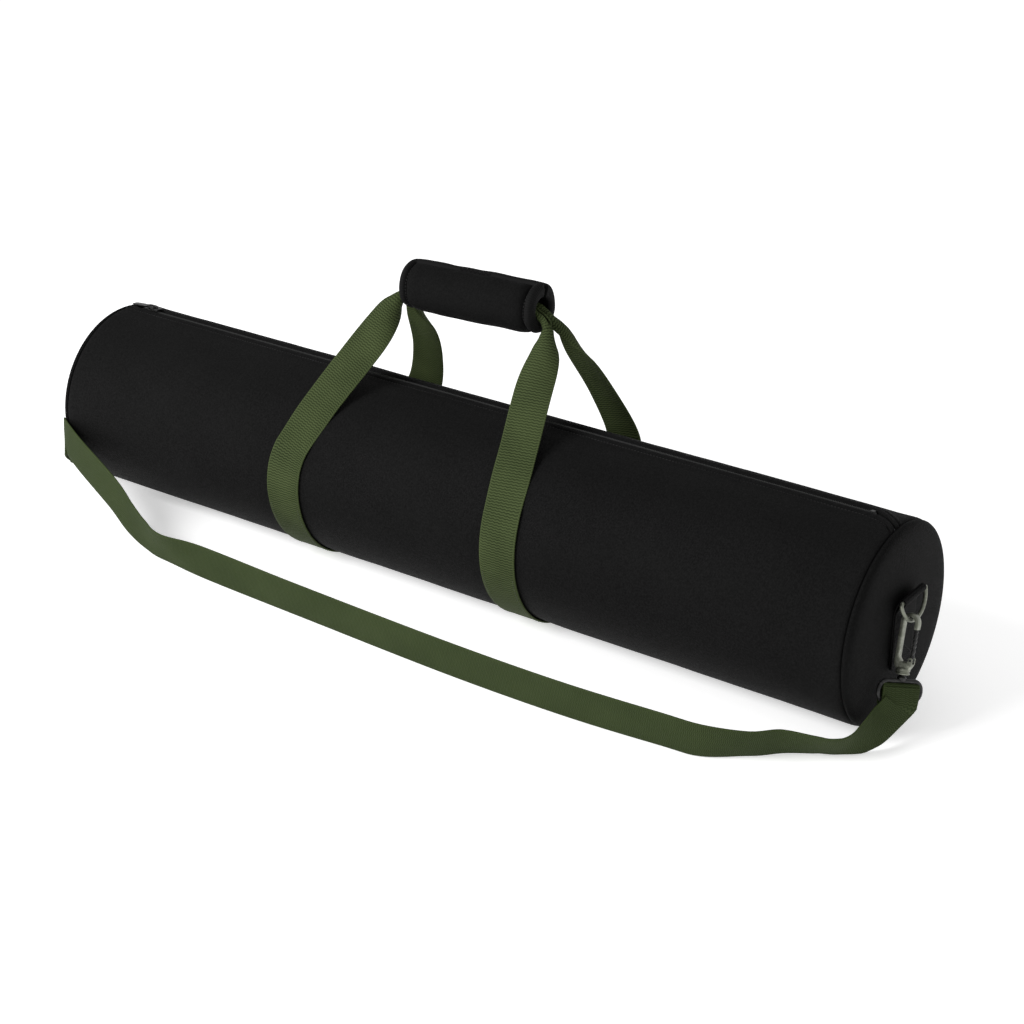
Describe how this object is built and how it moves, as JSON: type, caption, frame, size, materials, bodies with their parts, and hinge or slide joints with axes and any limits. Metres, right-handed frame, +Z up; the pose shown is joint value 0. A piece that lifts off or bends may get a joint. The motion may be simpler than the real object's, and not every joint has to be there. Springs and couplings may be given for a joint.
{
  "type": "telescope carry case",
  "caption": "Long padded fabric tube with a full-length zip, webbing carry handle with wrap grip, and clip-on shoulder strap.",
  "frame": {"origin": "on the floor, under the middle of the case", "axes": "+X along the tube towards the end nearest the camera, +Y towards the back, away from the loose shoulder strap, +Z up"},
  "size_m": [0.9457, 0.2607, 0.3013],
  "materials": {
    "black_nylon": "matte fine weave",
    "foam": "closed-cell foam sheet",
    "lining": "smooth woven lining",
    "zip_black": "woven tape and nylon coil",
    "olive_webbing": "ribbed webbing",
    "black_webbing": "ribbed webbing and tape",
    "gunmetal": "dark plated",
    "black_metal": "black painted"
  },
  "bodies": {
    "case": {"outer_shell": "black_nylon", "foam_padding": "foam", "inner_lining": "lining", "zip_tape_front": "zip_black", "zip_tape_back": "zip_black", "zip_coil_front": "zip_black", "zip_coil_back": "zip_black", "zip_stop_closed": "black_metal", "zip_stop_open": "black_metal", "webbing_band_left": "olive_webbing", "webbing_band_right": "olive_webbing", "shoulder_strap": "olive_webbing", "end_cover_left": "black_nylon", "end_foam_left": "foam", "end_lining_left": "lining", "seam_welt_left": "black_nylon", "end_tab_left": "black_webbing", "swivel_loop_left": "black_metal", "end_cover_right": "black_nylon", "end_foam_right": "foam", "end_lining_right": "lining", "seam_welt_right": "black_nylon", "end_tab_right": "black_webbing", "swivel_loop_right": "black_metal"},
    "zip_slider": {"zip_slider": "black_metal"},
    "zip_pull": {"zip_pull": "black_metal"},
    "handle": {"handle_strap_front": "olive_webbing", "handle_strap_back": "olive_webbing", "grip_cover": "black_nylon", "grip_foam": "foam", "grip_loop_tape": "black_webbing"},
    "grip_flap": {"grip_flap": "black_nylon", "grip_flap_foam": "foam", "grip_hook_tape": "black_webbing"},
    "d_ring_left": {"d_ring_left": "gunmetal"},
    "hook_left": {"hook_body_left": "gunmetal", "gate_pin_left": "black_metal"},
    "gate_left": {"hook_gate_left": "black_metal"},
    "d_ring_right": {"d_ring_right": "gunmetal"},
    "hook_right": {"hook_body_right": "gunmetal", "gate_pin_right": "black_metal"},
    "gate_right": {"hook_gate_right": "black_metal"}
  },
  "joints": [
    {"name": "zip_slide", "type": "slide", "parent": "case", "child": "zip_slider", "axis": [1, 0, 0], "range_m": [0, 0.797]},
    {"name": "zip_pull_swing", "type": "hinge", "parent": "zip_slider", "child": "zip_pull", "pos_m": [-0.403, 0.01312, 0.18338], "axis": [0, 0.9903, -0.1392], "range_deg": [0, 160]},
    {"name": "handle_swing", "type": "hinge", "parent": "case", "child": "handle", "pos_m": [0, 0, 0.09], "axis": [-1, 0, 0], "range_deg": [-39, 27]},
    {"name": "grip_flap_open", "type": "hinge", "parent": "handle", "child": "grip_flap", "pos_m": [-0.00439, 0.03724, 0.26125], "axis": [-0.9991, 0, -0.0419], "range_deg": [0, 104]},
    {"name": "d_ring_swing_left", "type": "hinge", "parent": "case", "child": "d_ring_left", "pos_m": [-0.4515, 0, 0.1215], "axis": [0, 1, 0], "range_deg": [-3, 3]},
    {"name": "hook_swivel_left", "type": "hinge", "parent": "case", "child": "hook_left", "pos_m": [-0.45529, -0.01185, 0.10465], "axis": [-0.0901, -0.5006, -0.861], "range_deg": [-5, 5]},
    {"name": "hook_gate_left", "type": "hinge", "parent": "hook_left", "child": "gate_left", "pos_m": [-0.46433, -0.02774, 0.07732], "axis": [0, 0.8645, -0.5026], "range_deg": [0, 18], "stiffness_Nm_per_rad": 0.02, "springref_deg": -28.65},
    {"name": "d_ring_swing_right", "type": "hinge", "parent": "case", "child": "d_ring_right", "pos_m": [0.4515, 0, 0.1215], "axis": [0, -1, 0], "range_deg": [-3, 3]},
    {"name": "hook_swivel_right", "type": "hinge", "parent": "case", "child": "hook_right", "pos_m": [0.45564, -0.00862, 0.1031], "axis": [0.075, -0.36, -0.9299], "range_deg": [-5, 5]},
    {"name": "hook_gate_right", "type": "hinge", "parent": "hook_right", "child": "gate_right", "pos_m": [0.4642, -0.02008, 0.07349], "axis": [0, -0.9326, 0.361], "range_deg": [0, 18], "stiffness_Nm_per_rad": 0.02, "springref_deg": -28.65}
  ]
}
